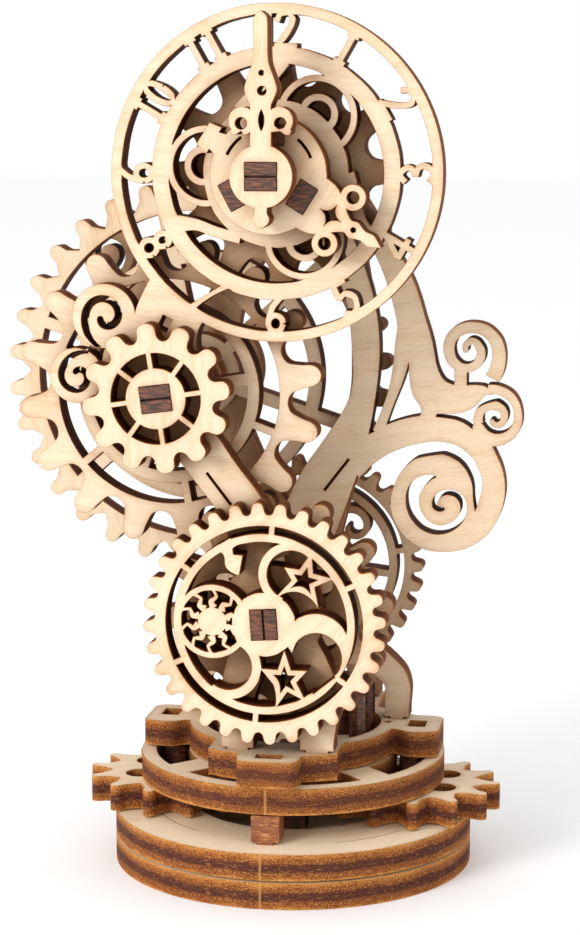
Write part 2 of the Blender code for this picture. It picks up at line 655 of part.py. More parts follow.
def build_scroll_plate():
    """Middle plate: two arms up to the clock axle, three scrolls on the right and two legs."""
    inner_arm = band([(1.0, 99.0, 6.0), (5.6, 91.5, 4.4), (9.0, 83.0, 4.0), (10.1, 75.5, 4.1),
                      (9.7, 68.0, 3.7), (7.2, 61.0, 6.0), (4.0, 54.5, 8.0), (0.5, 46.0, 8.6)])
    outside = spline([(6.5, 102.0), (12.0, 93.5), (16.7, 85.5), (18.7, 79.7), (19.8, 76.1),
                      (20.5, 72.6), (21.6, 70.6), (23.1, 70.0)], 2)
    inside = spline([(12.2, 65.4), (13.7, 70.1), (14.4, 76.0), (14.5, 79.6), (11.8, 87.8), (6.0, 97.5)], 3)
    outer_arm = outside + [(27.0, 70.0), (28.6, 69.3), (26.4, 62.6), (20.0, 61.8), (14.0, 60.4),
                           (11.2, 63.2)] + inside
    teardrop = [(16.4, 73.2), (16.5, 70.8), (17.0, 68.4), (18.2, 66.5), (18.0, 65.4), (15.7, 64.9),
                (13.2, 64.0), (14.3, 67.1), (15.5, 70.1)]
    lower_arm = band([(8.0, 57.5, 6.0), (11.4, 60.4, 4.6), (16.0, 62.8, 3.6), (21.0, 63.3, 3.9),
                      (25.6, 61.6, 4.4), (28.4, 57.6, 3.4)], 3)
    slit = spline([(20.5, 65.7), (23.8, 65.9), (26.0, 66.9), (27.5, 68.7)], 3)
    slit += [(28.9, 68.5), (28.9, 65.0), (25.9, 63.5)]
    slit += spline([(24.6, 64.4), (23.0, 65.0), (20.4, 65.3)], 2)
    gap = spline([(9.3, 56.2), (11.5, 58.3), (14.1, 60.0), (17.1, 61.1), (20.9, 61.7), (24.8, 60.5),
                  (27.0, 57.0), (27.1, 54.5), (26.2, 51.6)], 3)
    gap += spline([(25.9, 53.5), (25.6, 56.1), (23.9, 58.7), (20.9, 59.9), (17.7, 59.2), (15.3, 57.0),
                   (14.0, 54.0), (13.9, 52.2)], 3) + [(9.3, 50.0)]
    top, middle, big = (25.4, 74.9), (28.9, 65.1), (22.0, 52.7)
    body, channel = big_scroll(big)
    layers = plus(inner_arm, outer_arm, lower_arm, circle(CLOCK, 7.6), body)
    layers += minus(gap, channel, teardrop, slit, circle(middle, 2.9)) + plus(*middle_scroll(middle))
    layers += plus(winding_strip(top, 4.4, -52), box((23.9, 70.9), 1.8, 2.4), circle(LOWER, 7.6))
    layers += plus(band([(-2.0, 36.0, 7.0), (-9.0, 31.0, 4.6), (-14.6, 26.4, 3.8), (-15.0, 22.0, 3.6)]),
                   band([(2.0, 36.0, 7.0), (9.0, 31.0, 4.6), (14.6, 26.4, 3.8), (15.0, 22.0, 3.6)]))
    layers += plus(*feet_outlines(SCROLL_FEET)) + minus(line((7.7, 58.8), (4.1, 54.1), KERF))
    layers += minus(circle(CLOCK, SHAFT_HOLE_RADIUS), circle(LOWER, SHAFT_HOLE_RADIUS))
    sheet("scroll_plate", layers, (0, sheet_y(SCROLL_LEVEL), 0), tone="shade")


def build_rear_plate():
    """Rear plate: bearings for all three axles, one scroll on the left and the rear legs."""
    scroll = (-31.0, 87.3)
    layers = plus(circle(LEFT, 8.0), circle(CLOCK, 7.6), circle(LOWER, 7.6), circle(scroll, 3.9))
    layers += plus(
        band([(*LOWER, 8.0), (-6.0, 48.5, 5.6), (-12.0, 60.0, 6.0), (*LEFT, 9.0)]),
        band([(*LEFT, 8.0), (-13.0, 80.5, 5.6), (-7.0, 92.0, 5.4), (*CLOCK, 8.0)]),
        band([(*LEFT, 9.0), (-21.5, 78.0, 5.6), (-27.4, 82.0, 4.0), (-30.4, 85.0, 3.0)]),
        band([(*CLOCK, 8.0), (5.4, 91.0, 4.2), (7.6, 80.0, 3.6), (8.1, 73.0, 3.6), (7.6, 66.0, 3.4),
              (5.4, 58.0, 4.6), (1.8, 46.0, 6.0)]),
        band([(-1.5, 38.0, 7.0), (-7.4, 29.0, 5.0), (-8.6, 22.0, 4.4)]),
        band([(0.5, 38.0, 7.0), (6.6, 29.0, 5.0), (8.6, 22.0, 4.4)]),
        *feet_outlines(REAR_FEET))
    layers += minus(scroll_slot(scroll, 3.9, 1, -118))
    layers += minus(*[circle(axle, SHAFT_HOLE_RADIUS) for axle in (LEFT, CLOCK, LOWER)])
    sheet("rear_plate", layers, (0, sheet_y(REAR_LEVEL), 0), tone="shade")


# ---------------------------------------------------------------- wheels

def wheel(name, layers, axle, level, turn=0.0, tone="birch"):
    """An upright wheel on one of the axles, at a sheet level behind the dial plate."""
    return sheet(name, layers + minus(axle_hole(turn)), (axle[0], sheet_y(level), axle[1]),
                 tone=tone)


def build_left_wheels():
    """The wheels on the left axle: the small front one, the big one and the fine-toothed one."""
    knob = lobed_rim(KNOB_TEETH, 10.4, 8.0, KNOB_PHASE, 0.27, 3)
    windows = spoked_windows(4.2, 6.3, 8, math.radians(9), 0.7)
    wheel("knob_gear", plus(knob) + minus(*windows), LEFT, -1, LEFT_AXLE_TURN)

    pitch_radius = AXLE_DISTANCE * WHEEL_TEETH / (WHEEL_TEETH + LOBE_TEETH)
    teeth = gear(WHEEL_TEETH, pitch_radius, 21.8, 17.0, WHEEL_PHASE, 0.7, 0.45, 0.35, 2, 3, 2)
    windows = spoked_windows(12.9, 15.8, 6, math.radians(40), 1.1)
    windows += spoked_windows(5.8, 11.2, 6, math.radians(70), 1.8)
    wheel("big_tooth_wheel", plus(teeth) + minus(*windows), LEFT, 1, LEFT_AXLE_TURN)

    pitch_radius = AXLE_DISTANCE * FINE_TEETH / (FINE_TEETH + PINION_TEETH)
    teeth = gear(FINE_TEETH, pitch_radius, 29.0, 25.6, FINE_PHASE, 0.5, 0.52, 0.4)
    windows = spoked_windows(18.6, 24.3, 6, math.radians(-18), 1.8)
    windows += spoked_windows(6.2, 16.6, 6, math.radians(-18), 1.9)
    wheel("fine_wheel", plus(teeth) + minus(*windows), LEFT, FINE_LEVEL, LEFT_AXLE_TURN, "shade")


def lobed_wheel(phase):
    """The twelve big rounded teeth shared by the hour wheel and the drive wheel."""
    pitch_radius = AXLE_DISTANCE * LOBE_TEETH / (WHEEL_TEETH + LOBE_TEETH)
    return gear(LOBE_TEETH, pitch_radius, 17.0, 12.1, phase, 0.7, 0.45, 0.35, 2, 3, 2)


def sun_layers(centre, disc, inner, outer, rays):
    """A sun with wavy flames between its disc and a ring."""
    layers = plus(circle(centre, outer)) + minus(circle(centre, inner)) + plus(circle(centre, disc))
    for ray in range(rays):
        angle = math.tau * ray / rays + 0.2
        wave = [(-0.1, 0.0, 1.1), (0.8, 0.16, 0.75), (1.5, -0.06, 0.5), (inner - disc + 0.2, 0.1, 0.45)]
        flame = [(*polar(centre, disc + out, angle + lean), width) for out, lean, width in wave]
        layers += plus(band(flame, 2))
    return layers


def build_star_wheel():
    """The front lower wheel: a sun, two stars and three crescents inside a slotted rim."""
    teeth = lobed_rim(FINE_TEETH, 17.0, 15.3, STAR_PHASE, 0.27)
    slots = spoked_windows(12.7, 13.8, 6, math.radians(25), 0.8)
    layers = plus(teeth) + minus(*slots, circle((0, 0), 11.6)) + plus(circle((0, 0), 4.5))
    mouth = [(3.4, -2.9), (4.3, -4.3), (7.4, -4.4), (10.0, -7.0), (7.0, -9.5), (3.0, -8.0), (1.5, -4.5)]
    layers += plus(circle((7.3, -2.9), 4.7)) + minus(circle((7.4, -4.4), 3.5), mouth)
    layers += plus(sector((3.9, 7.05), 3.45, 4.65, math.radians(45), math.radians(250)))
    layers += plus(sector((-5.0, -6.05), 3.35, 4.7, math.radians(-128), math.radians(62)))
    layers += sun_layers((-7.2, 0.2), 2.05, 4.4, 5.2, 10)
    layers += plus([(-5.5, 9.4), (-5.2, 7.8), (-3.4, 6.8), (-2.9, 9.6), (-4.2, 9.7), (-4.3, 10.5),
                    (-3.6, 11.1), (-4.6, 12.0), (-6.6, 10.8)])
    upper_tips = [(6, 4.2), (75, 4.2), (146, 3.3), (211, 4.5), (298, 4.4)]
    lower_tips = [(24, 3.5), (90, 4.2), (156, 3.6), (253, 4.2), (316, 4.2)]
    for centre, tips in (((5.6, 6.3), upper_tips), ((2.9, -7.7), lower_tips)):
        layers += plus(star(centre, tips, 1.7)) + minus(star(centre, tips, 1.7, 0.48))
    layers += plus(circle((0, 0), 4.5))
    wheel("star_moon_wheel", layers, LOWER, -1, LOWER_AXLE_TURN)


def build_scroll_wheel():
    """The rear lower wheel: three curls and three spokes inside a slotted rim."""
    teeth = lobed_rim(FINE_TEETH, 16.9, 15.1, SCROLL_WHEEL_PHASE, 0.25)
    slots = spoked_windows(12.9, 14.0, 6, math.radians(10), 0.9)
    layers = plus(teeth) + minus(*slots, circle((0, 0), 11.6)) + plus(circle((0, 0), 5.0))
    for third in range(3):
        angle = math.radians(45) + math.tau * third / 3
        layers += plus(line(polar((0, 0), 3.0, angle - 0.9), polar((0, 0), 12.2, angle - 0.9), 1.1))
        root = math.degrees(angle) + 200
        scroll = [(root - 40, 3.6, 1.4), (root - 90, 3.1, 1.3), (root - 180, 2.6, 1.2),
                  (root - 270, 2.0, 1.0), (root - 360, 1.2, 0.9), (root - 420, 0.7, 0.8)]
        layers += plus(curl(polar((0, 0), 8.3, angle), scroll, 3, True))
        layers += plus(line(polar((0, 0), 4.0, angle + 0.25), polar((0, 0), 8.0, angle + 0.42), 1.3))
    wheel("scroll_wheel", layers, LOWER, SCROLL_WHEEL_LEVEL, LOWER_AXLE_TURN, "shade")


def build_lower_wheels():
    build_star_wheel()
    build_scroll_wheel()
    windows = [circle(polar((0, 0), 7.6, DRIVE_PHASE + math.tau * i / 6), 2.2) for i in range(6)]
    wheel("drive_wheel", plus(lobed_wheel(DRIVE_PHASE)) + minus(*windows), LOWER, 1, LOWER_AXLE_TURN)


def build_clock_wheels():
    """The lobed hour wheel with its three strips, and the pinion of the minute hand."""
    strips = [box(polar((0, 0), STRIP_RADIUS, a), STRIP_DEPTH + 2 * GAP, STRIP_LENGTH + 2 * GAP, a)
              for a in STRIP_ANGLES]
    holes = minus(circle((0, 0), SHAFT_HOLE_RADIUS), *strips)
    at = (CLOCK_X, sheet_y(1), CLOCK_Z)
    sheet("hour_wheel", plus(lobed_wheel(HOUR_PHASE)) + holes, at)
    front = DIAL_PLATE_Y - HAND_STEP
    length = sheet_y(1) + SHEET - front
    for number, angle in enumerate(STRIP_ANGLES, 1):
        turned = box(polar((0, 0), STRIP_RADIUS, angle), STRIP_DEPTH, STRIP_LENGTH, angle)
        sheet(f"hour_strip_{number}", plus(turned), (CLOCK_X, front - 0.15, CLOCK_Z),
              thickness=length + 0.3, tone="burnt")
    pitch_radius = AXLE_DISTANCE * PINION_TEETH / (FINE_TEETH + PINION_TEETH)
    teeth = gear(PINION_TEETH, pitch_radius, 8.4, 4.7, MINUTE_PHASE, 0.9, 0.5, 0.25)
    wheel("minute_pinion", plus(teeth), CLOCK, FINE_LEVEL)


# ---------------------------------------------------------------- hands

def build_hour_hand():
    """The disc with a scrolled pointer, a square tail and slots for the three strips."""
    edge = spline([(6.5, -3.9), (8.4, -3.7), (10.2, -2.8), (11.4, -1.7), (12.6, -0.95), (13.5, -1.2),
                   (15.0, -0.7), (16.2, -0.85), (17.9, 0.0)], 2)
    blade = edge + [(x, -y) for x, y in edge[-2::-1]]
    curls = []
    for side in (-1, 1):
        centre = (11.2, side * 3.6)
        curls += plus(circle(centre, 1.75)) + minus(circle(centre, 0.85))
    tail = [(-7.2, -1.7), (-8.6, -1.3), (-8.6, -2.0), (-10.4, -1.7), (-10.4, 1.7), (-8.6, 2.0),
            (-8.6, 1.3), (-7.2, 1.7)]
    diamond = [(8.2, 0.0), (9.4, -0.5), (9.9, -1.7), (10.4, -0.5), (11.6, 0.0), (10.4, 0.5),
               (9.9, 1.7), (9.4, 0.5)]
    layers = plus(circle((0, 0), 7.9), blade, tail) + curls
    layers += minus(diamond, circle((13.5, 0.0), 0.37))
    layers = [(keep, moved(outline, (0, 0), HOUR_POINTER)) for keep, outline in layers]
    slots = [box(polar((0, 0), STRIP_RADIUS, a), STRIP_DEPTH + 2 * GAP, STRIP_LENGTH + 2 * GAP, a)
             for a in STRIP_ANGLES]
    arcs = [sector((0, 0), 6.0, 6.0 + KERF, math.radians(a), math.radians(a + 28)) for a in (22, 126)]
    layers += minus(*slots, *arcs, circle((0, 0), SHAFT_HOLE_RADIUS))
    sheet("hour_hand", layers, (CLOCK_X, DIAL_PLATE_Y - HAND_STEP, CLOCK_Z))


def build_minute_hand():
    """The front hand: a leaf blade, two side curls, a round hub and a short tail."""
    half = [(1.4, 3.6), (1.4, 9.2)] + spline([(1.55, 9.6), (2.15, 11.3), (1.6, 13.2), (1.0, 15.2),
                                              (0.95, 19.0), (0.8, 20.6), (0.0, 21.4)], 3)
    tail = [(0.9, -4.0), (0.85, -4.8), (1.15, -5.5), (0.9, -6.2), (0.0, -6.8)]
    blade = half + mirrored(half[-2::-1])
    layers = plus(blade, circle((0, 0), 4.2), tail[::-1] + mirrored(tail[:-1]))
    for side in (-1, 1):
        hole = (side * 2.6, 6.9)
        layers += plus(circle((side * 2.45, 7.2), 1.85)) + minus(circle(hole, 0.8))
        layers += minus([(side * 1.5, 4.5), (side * 1.9, 5.0), (side * 2.6, 5.9), (side * 3.3, 5.4),
                         (side * 2.9, 4.0)])
        layers += plus(circle((side * 3.5, 5.9), 0.55))
    layers += plus(box((0, 6.4), 2.8, 5.0), circle((0, 0), 4.2))
    layers += minus(circle((0.12, 13.4), 0.37), moved(circle((0, 0), 0.62), (0.18, 11.1)))
    layers += minus([(0.1, 8.7), (0.5, 7.3), (0.1, 5.9), (-0.3, 7.3)], axle_hole())
    sheet("minute_hand", layers, (CLOCK_X, DIAL_PLATE_Y - 2 * HAND_STEP, CLOCK_Z))


# ---------------------------------------------------------------- axles and washers

def build_axle(name, axle, front, back, turn):
    """A rectangular axle along Y with a saw line across each end."""
    length = back - front
    bar = box((0, length / 2), AXLE_THIN, length)
    lines = minus(*[box((0, y), KERF, 2.0) for y in (0, length)])
    item = sheet(name, plus(bar) + lines, (axle[0], front, axle[1]), upright=False,
                 thickness=AXLE_WIDE, tone="burnt")
    item.data.transform(Matrix.Translation((0, 0, -AXLE_WIDE / 2 * MM)))
    item.rotation_euler = (0, math.pi / 2 - turn, 0)


def build_axles():
    """The three axles, each just longer than the stack it carries."""
    rear = sheet_y(REAR_LEVEL) + SHEET
    build_axle("left_axle", LEFT, sheet_y(-1) - 0.2, rear + 1.2, LEFT_AXLE_TURN)
    build_axle("lower_axle", LOWER, sheet_y(-1) - 0.2, sheet_y(SCROLL_WHEEL_LEVEL) + SHEET + 0.6,
               LOWER_AXLE_TURN)
    build_axle("minute_axle", CLOCK, DIAL_PLATE_Y - 2 * HAND_STEP - 0.2, rear + 1.2, 0.0)


def build_washers():
    """Round washers that keep the wheels apart on their axles."""
    spots = [("left_washer", LEFT, 2, 4 * PITCH - GAP, LEFT_AXLE_TURN),
             ("lower_washer", LOWER, 2, 3 * PITCH - GAP, LOWER_AXLE_TURN),
             ("lower_rear_washer", LOWER, 9, PITCH - GAP, LOWER_AXLE_TURN),
             ("minute_washer", CLOCK, 2, 3 * PITCH - GAP, 0.0)]
    for name, axle, level, thickness, turn in spots:
        sheet(name, plus(circle((0, 0), 4.4)) + minus(axle_hole(turn)),
              (axle[0], sheet_y(level), axle[1]), thickness=thickness, tone="shade")


def main():
    for item in list(bpy.data.objects):
        bpy.data.objects.remove(item)
    build_base()
    build_finger_gears()
    build_crown()
    build_carrier()
    build_dial_plate()
    build_scroll_plate()
    build_rear_plate()
    build_left_wheels()
    build_lower_wheels()
    build_clock_wheels()
    build_hour_hand()
    build_minute_hand()
    build_axles()
    build_washers()


main()
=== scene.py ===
"""Looks of the laser-cut plywood gear clock, around the pieces of its model.

Every sheet gets birch veneer on its two faces and scorched plies on its sawn edges.
Lengths in the materials and the outlines are in millimetres, all others are in metres.
"""

import json
import math
from dataclasses import dataclass

import bmesh
import bpy
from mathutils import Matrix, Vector
from mathutils.geometry import delaunay_2d_cdt


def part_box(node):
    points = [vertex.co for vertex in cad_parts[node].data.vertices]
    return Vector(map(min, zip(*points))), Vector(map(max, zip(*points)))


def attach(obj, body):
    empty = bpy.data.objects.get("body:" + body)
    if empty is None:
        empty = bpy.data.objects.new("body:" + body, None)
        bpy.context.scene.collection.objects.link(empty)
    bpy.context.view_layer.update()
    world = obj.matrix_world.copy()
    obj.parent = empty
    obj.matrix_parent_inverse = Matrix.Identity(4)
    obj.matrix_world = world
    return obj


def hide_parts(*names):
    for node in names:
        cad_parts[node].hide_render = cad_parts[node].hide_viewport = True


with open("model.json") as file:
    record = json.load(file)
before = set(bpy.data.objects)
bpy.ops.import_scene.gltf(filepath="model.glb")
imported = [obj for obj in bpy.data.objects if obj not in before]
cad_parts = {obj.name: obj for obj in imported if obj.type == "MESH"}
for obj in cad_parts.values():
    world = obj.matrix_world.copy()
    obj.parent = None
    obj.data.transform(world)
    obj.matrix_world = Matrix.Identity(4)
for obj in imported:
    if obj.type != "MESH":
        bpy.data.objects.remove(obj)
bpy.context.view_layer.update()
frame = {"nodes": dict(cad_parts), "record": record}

MM = 0.001
IN_MM = (1 / MM, 1 / MM, 1 / MM)     # what turns a position in metres into millimetres

# The sheets, in mm
THICKNESS = 3.8                      # of the plywood
EDGE_ROUND = 0.06                    # how far the laser rounds an edge
SNUG = 0.24                          # how far a mortise closes in on the piece it holds
SMALLEST_MORTISE = 1.5               # shortest side of a mortise

# The refined outlines
WELD = 0.002                         # points closer together than this are one, in mm
SQUARE_ON = 0.9                      # how squarely a sheet's front faces out, as a cosine
CORNER_TURN = math.radians(56)       # a sharper turn in an outline is a corner
ROUND_HOLE_TURN = math.radians(80)   # the same limit in a loop that turns evenly
EVEN_TURN = math.radians(6)          # how much the turns of such a loop may differ
LARGEST_TURN = math.radians(22)      # turn between two edges of a refined outline
SAG = 0.010                          # how far a refined edge may lie inside its curve, in mm
MOST_ATTEMPTS = 6                    # rounds of finding tight spots
TIGHT_REACH = 1.0                    # distance around a tight spot that keeps its plain outline, in mm
LONGEST_MITRE = 2.0                  # how much further than the sides beside it a corner may move
FILL_ALL = 0                         # triangles everywhere, in holes and outside too
FILL_SLACK = 1e-5                    # loops closer together than this touch, in mm
SHARP_EDGE = math.radians(32)        # a sharper edge between two faces isn't shaded smooth

# The wood
FACE_FROM, FACE_FULL = 0.86, 0.93    # how squarely a surface faces out where veneer starts and is whole
FIBRE_SHARE = 0.55                   # of the veneer's tone; the rest comes from its bands
CORE_MIDDLE = 0.48                   # middle of the plywood's dark core, as a share of its thickness
PLY_WANDER = 0.24                    # how far the plies wander up and down in all, as the same share
PLY_FRAY = 0.16                      # how far their borders fray in all, as the same share
BURN_SPREAD = 0.4                    # how much burnt patches differ from the sheet's own share
SCORCH_REACH = 1.0                   # width of the scorched rim on a face, in mm
SCORCH_SHARE = 0.8                   # strength of that rim where it is darkest
PAINTED_SHADE_REACH = 14.0                   # distance within which other pieces paint shade on a surface, in mm
PAINTED_SHADE_UPRIGHT, PAINTED_SHADE_FLAT = 0.95, 0.12     # how far painted shade can darken an upright and a lying sheet
OCCLUSION_SAMPLES = 4
FACE_ROUGHNESS, EDGE_ROUGHNESS = 0.58, 0.72
PLYWOOD_SPECULAR = 0.08
SHEET_SHIFT = (37.1, 53.7, 0.0)      # from one sheet's piece of the pattern to the next, in mm
STRIP_SHIFT = (11.3, 17.9, 5.1)      # the same for the strips
POST_GLOW, STRIP_GLOW = 0.2, -0.07   # how much lighter the posts and the other strips are burnt

# Marks on the round sheets
SEAM_ANGLE = math.radians(-90.6)     # where the laser started
SEAM_WIDTH = 0.25                    # half of the mark's width, in mm
SEAM_SHARE = 0.5                     # how far the mark turns to a lighter brown
ARC_WIDTH = 0.12                     # half of an engraved line's width, in mm
ARC_SHARE = 0.8                      # how far the line turns to dark brown
ARC_SPANS = [(20.2, -155.0, -122.0), (21.3, -64.0, -36.0)]     # radius, first and last degree

# The studio, in metres
FLOOR_REACH = 3.0                    # from the middle of the floor to each side
FLOOR_DROP = 0.02 * MM               # keeps the floor clear of the model's underside
KEY_PLACE = Vector((-0.40, -0.60, 0.34))
KEY_TARGET = Vector((0.0, 0.0, 0.06))
KEY_SIDE = 0.30                      # of the square softbox
KEY_POWER = 3.6                      # in watts
GLOW_STRENGTH = 1.0                  # of the even light from all sides
PAPER_ROUGHNESS = 0.85
CAMERA_PLACE = (0.05724, -0.33942, 0.11093)
CAMERA_TURN = math.radians(9.653)    # to the left of straight ahead
CAMERA_DROP = math.radians(8.773)    # below level
CAMERA_LENS, CAMERA_SENSOR = 92.4, 36.0    # focal length and width, in mm

# Colours, as shares of red, green, blue and cover
# IVORY paints light on lit tops; TAN and DARK_TAN are partly painted shade
IVORY = (0.97, 0.81, 0.60, 1.0)
CREAM = (0.785, 0.625, 0.45, 1.0)
STRAW = (0.66, 0.465, 0.28, 1.0)
TAN = (0.56, 0.385, 0.235, 1.0)
DARK_TAN = (0.4032, 0.2772, 0.1692, 1.0)
HONEY = (0.58, 0.30, 0.10, 1.0)
FLECK = (0.78, 0.42, 0.14, 1.0)
GOLD = (0.52, 0.22, 0.055, 1.0)
AMBER = (0.29, 0.08, 0.018, 1.0)
RUST = (0.19, 0.056, 0.019, 1.0)
PLUM = (0.085, 0.027, 0.02, 1.0)
CHAR = (0.035, 0.014, 0.008, 1.0)
PAINTED_SHADE_TINT = (0.40, 0.235, 0.13, 1.0)      # painted shade: what a surface hemmed in by other pieces is multiplied by
PAPER = (0.97, 0.97, 0.975, 1.0)
WHITE = (1.0, 1.0, 1.0, 1.0)
KEY_TINT = (1.0, 0.985, 0.96)

# Colours from one face of a sheet to the other, and from dark streaks to light ones
PLY_COLOURS = [(0.02, GOLD), (0.10, AMBER), (0.31, RUST), (0.36, PLUM),
               (0.60, PLUM), (0.66, RUST), (0.80, AMBER), (0.97, GOLD)]
STREAK_COLOURS = [(0.36, CHAR), (0.54, RUST), (0.72, AMBER), (0.92, HONEY)]

# Patterns in the wood: cells per mm in three directions, detail and roughness
FIBRES = ((0.35, 4.2, 0.5), 3.0, 0.6)
BANDS = ((0.05, 0.55, 0.2), 2.0, 0.5)
CLOUDS = ((0.09, 0.11, 0.1), 1.0, 0.5)
PORES = ((0.9, 9.0, 1.0), 1.0, 0.5)
RIM_PATCHES = ((0.12, 0.12, 0.1), 1.0, 0.5)
PLY_WAVES = ((0.25, 0.25, 0.4), 1.0, 0.5)
BURNT_PATCHES = ((0.16, 0.16, 0.3), 1.0, 0.5)
EDGE_SPECKLE = ((5.0, 5.0, 7.0), 2.0, 0.7)
EDGE_STREAKS = ((1.1, 1.1, 6.0), 2.0, 0.6)
STRIP_SPECKLE = ((4.0, 4.0, 5.0), 2.0, 0.6)
STRIP_STREAKS = ((0.6, 0.8, 3.6), 3.0, 0.65)


# ---------------------------------------------------------------- node helpers

def feed(tree, value, socket):
    """Give a socket another node's output or a plain value."""
    if isinstance(value, bpy.types.NodeSocket):
        tree.links.new(value, socket)
    else:
        socket.default_value = value


def calc(tree, operation, *values, clamp=False):
    """One sum with numbers, such as ADD or MULTIPLY."""
    node = tree.nodes.new("ShaderNodeMath")
    node.operation = operation
    node.use_clamp = clamp
    for value, socket in zip(values, node.inputs):
        feed(tree, value, socket)
    return node.outputs[0]


def vector_calc(tree, operation, *values):
    """One sum with vectors; LENGTH gives a number."""
    node = tree.nodes.new("ShaderNodeVectorMath")
    node.operation = operation
    for value, socket in zip(values, node.inputs):
        feed(tree, value, socket)
    return node.outputs["Value" if operation == "LENGTH" else "Vector"]


def mix(tree, share, first, second, how="MIX"):
    """The first colour with a share of the second one in it."""
    node = tree.nodes.new("ShaderNodeMix")
    node.data_type = "RGBA"
    node.blend_type = how
    feed(tree, share, node.inputs[0])
    feed(tree, first, node.inputs[6])
    feed(tree, second, node.inputs[7])
    return node.outputs[2]


def between(tree, value, low, high, to_low=0.0, to_high=1.0):
    """Smooth ramp of a value from one range to another."""
    node = tree.nodes.new("ShaderNodeMapRange")
    node.interpolation_type = "SMOOTHSTEP"
    for socket, part in zip(node.inputs, (value, low, high, to_low, to_high)):
        feed(tree, part, socket)
    return node.outputs[0]


def noise(tree, place, pattern):
    """Noise that follows a pattern: its cells per mm, detail and roughness."""
    cells, detail, roughness = pattern
    node = tree.nodes.new("ShaderNodeTexNoise")
    feed(tree, vector_calc(tree, "MULTIPLY", place, cells), node.inputs["Vector"])
    node.inputs["Scale"].default_value = 1.0
    node.inputs["Detail"].default_value = detail
    node.inputs["Roughness"].default_value = roughness
    return node.outputs["Fac"]


def ramp(tree, value, stops):
    """The colour that a value has among pairs of a position and a colour."""
    node = tree.nodes.new("ShaderNodeValToRGB")
    feed(tree, value, node.inputs[0])
    elements = node.color_ramp.elements
    while len(elements) < len(stops):
        elements.new(0.5)
    for element, (position, colour) in zip(elements, stops):
        element.position = position
        element.color = colour
    return node.outputs[0]


def split(tree, vector):
    """A vector's three numbers, named X, Y and Z."""
    node = tree.nodes.new("ShaderNodeSeparateXYZ")
    feed(tree, vector, node.inputs[0])
    return node.outputs


def join(tree, x, y, z):
    """The vector of three numbers."""
    node = tree.nodes.new("ShaderNodeCombineXYZ")
    for value, socket in zip((x, y, z), node.inputs):
        feed(tree, value, socket)
    return node.outputs[0]


def coordinate(tree, kind):
    """A surface's own position (Object) or direction (Normal)."""
    return tree.nodes.new("ShaderNodeTexCoord").outputs[kind]


def openness(tree, reach, inward=False):
    """1 where nothing is near, down to 0; looking inward, what is near is the piece's own sides."""
    node = tree.nodes.new("ShaderNodeAmbientOcclusion")
    node.inside = inward
    node.only_local = inward
    node.samples = OCCLUSION_SAMPLES
    node.inputs["Distance"].default_value = reach * MM
    return node.outputs["AO"]


def add_bump(tree, shader, height, strength, depth):
    """A surface that is uneven by about a depth in mm."""
    bump = tree.nodes.new("ShaderNodeBump")
    bump.inputs["Strength"].default_value = strength
    bump.inputs["Distance"].default_value = depth * MM
    feed(tree, height, bump.inputs["Height"])
    feed(tree, bump.outputs[0], shader.inputs["Normal"])


def new_surface(name):
    """A material with a bare Principled node; returns the material, its tree and the shader."""
    material = bpy.data.materials.new(name)
    material.use_nodes = True
    tree = material.node_tree
    return material, tree, tree.nodes["Principled BSDF"]


# ---------------------------------------------------------------- plywood

@dataclass
class Sheet:
    """How one piece was cut: its plane, the grain's angle in degrees and how it was burnt."""
    upright: bool = True
    grain: float = 0.0
    char: float = 0.55           # share of the edge that is burnt to dark brown
    tan_and_shade: float = 0.0          # how far the veneer leans towards tan: partly the wood's own tone, partly painted shade on the pieces set back in shadow
    painted_light: float = 0.0            # painted light: how far the veneer leans towards ivory, on the lit tops of lying sheets
    seam: bool = False           # light vertical mark where the cut began
    lines: bool = False          # engraved arcs on top


HIDDEN_SHEET = Sheet(grain=10, char=0.5)

# The tan on the rear pieces is partly painted shade.
SHEETS = {
    "base_disc_lower": Sheet(upright=False, grain=4, char=0.05, seam=True),
    # painted light on the lit tops of the lying sheets
    "base_disc_upper": Sheet(upright=False, grain=-8, char=0.05, painted_light=0.6, seam=True, lines=True),
    "deck_ring": Sheet(upright=False, grain=12, char=0.3, painted_light=0.35, seam=True),
    "crown_disc": Sheet(upright=False, grain=60, char=0.6),
    "carrier_plate": Sheet(upright=False, grain=-4, char=0.25),
    "finger_gear_left": Sheet(upright=False, grain=25, char=0.0, painted_light=0.4),
    "finger_gear_right": Sheet(upright=False, grain=-20, char=0.0, painted_light=0.4),
    "centre_pinion": Sheet(upright=False, grain=50, char=0.5),
    "dial_plate": Sheet(grain=-3, char=0.9),
    "scroll_plate": Sheet(grain=8, char=0.8, tan_and_shade=0.15),
    "rear_plate": Sheet(grain=85, char=0.75, tan_and_shade=0.45),
    "knob_gear": Sheet(grain=86, char=0.65, tan_and_shade=0.12),
    "big_tooth_wheel": Sheet(grain=-8, char=0.75),
    "fine_wheel": Sheet(grain=94, char=0.7),
    "star_moon_wheel": Sheet(grain=47, char=0.7),
    "drive_wheel": Sheet(grain=15, char=0.7),
    "scroll_wheel": Sheet(grain=75, char=0.75, tan_and_shade=0.35),
    "hour_wheel": Sheet(grain=30, char=0.7, tan_and_shade=0.1),
    "hour_hand": Sheet(grain=62, char=0.7),
    "minute_hand": Sheet(grain=88, char=0.75, tan_and_shade=0.12),
    "minute_pinion": HIDDEN_SHEET,
    "left_washer": HIDDEN_SHEET,
    "lower_washer": HIDDEN_SHEET,
    "lower_rear_washer": HIDDEN_SHEET,
    "minute_washer": HIDDEN_SHEET,
}


